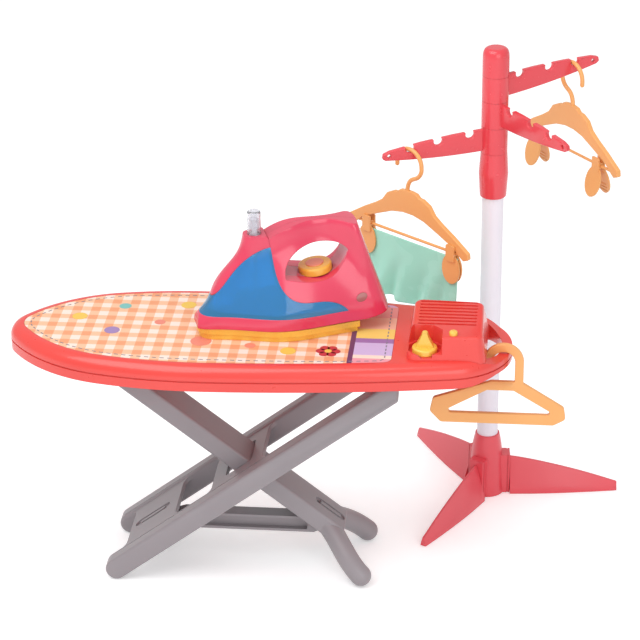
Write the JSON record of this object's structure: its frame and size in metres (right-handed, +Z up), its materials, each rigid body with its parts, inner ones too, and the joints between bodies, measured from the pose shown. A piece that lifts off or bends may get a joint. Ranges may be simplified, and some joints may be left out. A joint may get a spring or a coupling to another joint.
{
  "type": "toy ironing set",
  "caption": "Toy ironing board on crossed folding legs with a steam iron on its deck, a revolving clothes stand and hangers.",
  "frame": {"origin": "centre of the bounding box on the floor", "axes": "+X along the board to its end loop, +Y away from the front, +Z up"},
  "size_m": [0.6218, 0.3783, 0.5115],
  "materials": {
    "board_red": "injection moulded, satin gloss",
    "board_print": "printed cover",
    "yellow": "injection moulded gloss",
    "leg_grey": "injection moulded satin",
    "pin_steel": "turned and tumbled",
    "stand_red": "injection moulded gloss",
    "pole_white": "extruded tube, satin gloss",
    "hanger_orange": "injection moulded satin gloss",
    "cloth_mint": "woven thin cloth",
    "iron_red": "injection moulded high gloss",
    "tank_blue": "clear tinted moulding",
    "ramp_pink": "clear tinted moulding",
    "sole_gold": "moulded, metallic yellow",
    "dial_gold": "injection moulded gloss",
    "dial_orange": "injection moulded gloss",
    "lens_brown": "injection moulded gloss",
    "pump_white": "injection moulded",
    "cap_clear": "clear moulding"
  },
  "bodies": {
    "board": {"board_shell": "board_red", "board_cover": "board_print", "station_box": "board_red", "hinge_pins": "pin_steel"},
    "station_knob": {"station_knob": "yellow"},
    "station_button": {"station_button": "yellow"},
    "outer_leg": {"outer_leg": "leg_grey", "cross_pins": "pin_steel"},
    "inner_leg": {"inner_leg": "leg_grey", "strut_pin": "pin_steel"},
    "strut": {"leg_strut": "leg_grey"},
    "iron": {"iron_shell_near": "iron_red", "iron_shell_far": "iron_red", "iron_soleplate": "sole_gold", "iron_tank": "tank_blue", "iron_front_cover": "iron_red", "iron_ramp": "ramp_pink", "iron_lens": "lens_brown", "iron_screws": "pin_steel", "pump_body": "pump_white", "dip_tube": "pump_white"},
    "iron_dial": {"iron_dial": "dial_gold", "iron_dial_cap": "dial_orange"},
    "spray_button": {"spray_button": "pump_white"},
    "spray_cap": {"spray_cap": "cap_clear"},
    "stand": {"stand_pole": "pole_white", "stand_hub": "stand_red", "foot_right": "stand_red", "foot_rear": "stand_red", "foot_front": "stand_red", "stand_collar": "stand_red", "stand_spindle": "pole_white", "stand_cap": "stand_red"},
    "arm_bottom": {"arm_bottom": "stand_red"},
    "arm_middle": {"arm_middle": "stand_red"},
    "arm_top": {"arm_top": "stand_red"},
    "hanger_left": {"hanger_left": "hanger_orange", "cloth": "cloth_mint"},
    "clip_left_inner": {"clip_left_inner": "hanger_orange"},
    "clip_left_outer": {"clip_left_outer": "hanger_orange"},
    "hanger_right": {"hanger_right": "hanger_orange"},
    "clip_right_inner": {"clip_right_inner": "hanger_orange"},
    "clip_right_outer": {"clip_right_outer": "hanger_orange"},
    "plain_hanger": {"plain_hanger": "hanger_orange"}
  },
  "joints": [
    {"name": "outer_leg_fold", "type": "hinge", "parent": "board", "child": "outer_leg", "pos_m": [0.074, -0.095, 0.23], "axis": [0, 1, 0], "range_deg": [0, 12]},
    {"name": "inner_leg_fold", "type": "hinge", "parent": "outer_leg", "child": "inner_leg", "pos_m": [-0.0725, -0.095, 0.114], "axis": [0, 1, 0], "range_deg": [-24, 0]},
    {"name": "strut_hinge", "type": "hinge", "parent": "inner_leg", "child": "strut", "pos_m": [0.0095, -0.095, 0.049], "axis": [0, 1, 0], "range_deg": [-13, 0]},
    {"name": "knob_turn", "type": "hinge", "parent": "board", "child": "station_knob", "pos_m": [0.107, -0.1385, 0.269], "axis": [0, 0, 1], "range_deg": [-135, 135]},
    {"name": "button_press", "type": "slide", "parent": "board", "child": "station_button", "axis": [0, 0, -1], "range_m": [0, 0.0016], "stiffness_N_per_m": 300},
    {"name": "iron_lift", "type": "slide", "parent": "board", "child": "iron", "axis": [0, 0, 1], "range_m": [0, 0.12]},
    {"name": "dial_turn", "type": "hinge", "parent": "iron", "child": "iron_dial", "pos_m": [-0.00608, -0.07576, 0.3246], "axis": [-0.1245, -0.0392, 0.9914], "range_deg": [-150, 150]},
    {"name": "spray_press", "type": "slide", "parent": "iron", "child": "spray_button", "axis": [0, 0, -1], "range_m": [0, 0.005], "stiffness_N_per_m": 150},
    {"name": "cap_lift", "type": "slide", "parent": "iron", "child": "spray_cap", "axis": [0, 0, 1], "range_m": [0, 0.03]},
    {"name": "stand_lift", "type": "slide", "parent": "board", "child": "stand", "axis": [0, 0, 1], "range_m": [0, 0.1]},
    {"name": "arm_bottom_turn", "type": "hinge", "parent": "stand", "child": "arm_bottom", "pos_m": [0.1655, 0.07, 0.412], "axis": [0, 0, 1], "range_deg": [-40, 0]},
    {"name": "arm_middle_turn", "type": "hinge", "parent": "stand", "child": "arm_middle", "pos_m": [0.1655, 0.07, 0.44], "axis": [0, 0, 1], "range_deg": [-60, 30]},
    {"name": "arm_top_turn", "type": "hinge", "parent": "stand", "child": "arm_top", "pos_m": [0.1655, 0.07, 0.468], "axis": [0, 0, 1], "range_deg": [-15, 60]},
    {"name": "hanger_left_swing", "type": "hinge", "parent": "arm_bottom", "child": "hanger_left", "pos_m": [0.0801, 0.0389, 0.39385], "axis": [-0.6157, -0.788, 0], "range_deg": [-8, 3]},
    {"name": "clip_left_inner_slide", "type": "slide", "parent": "hanger_left", "child": "clip_left_inner", "axis": [0.788, -0.6157, 0], "range_m": [0, 0.03]},
    {"name": "clip_left_outer_slide", "type": "slide", "parent": "hanger_left", "child": "clip_left_outer", "axis": [0.788, -0.6157, 0], "range_m": [-0.03, 0]},
    {"name": "hanger_right_swing", "type": "hinge", "parent": "arm_top", "child": "hanger_right", "pos_m": [0.2436, 0.1146, 0.46455], "axis": [-0.788, -0.6157, 0], "range_deg": [-10, 10]},
    {"name": "clip_right_inner_slide", "type": "slide", "parent": "hanger_right", "child": "clip_right_inner", "axis": [0.6157, -0.788, 0], "range_m": [0, 0.03]},
    {"name": "clip_right_outer_slide", "type": "slide", "parent": "hanger_right", "child": "clip_right_outer", "axis": [0.6157, -0.788, 0], "range_m": [-0.03, 0.008]},
    {"name": "plain_hanger_swing", "type": "hinge", "parent": "board", "child": "plain_hanger", "pos_m": [0.1843, -0.112, 0.2475], "axis": [0, 1, 0], "range_deg": [-10, 10]}
  ],
  "couplings": [
    {"joint": "inner_leg_fold", "follows": "outer_leg_fold", "ratio": -2}
  ]
}
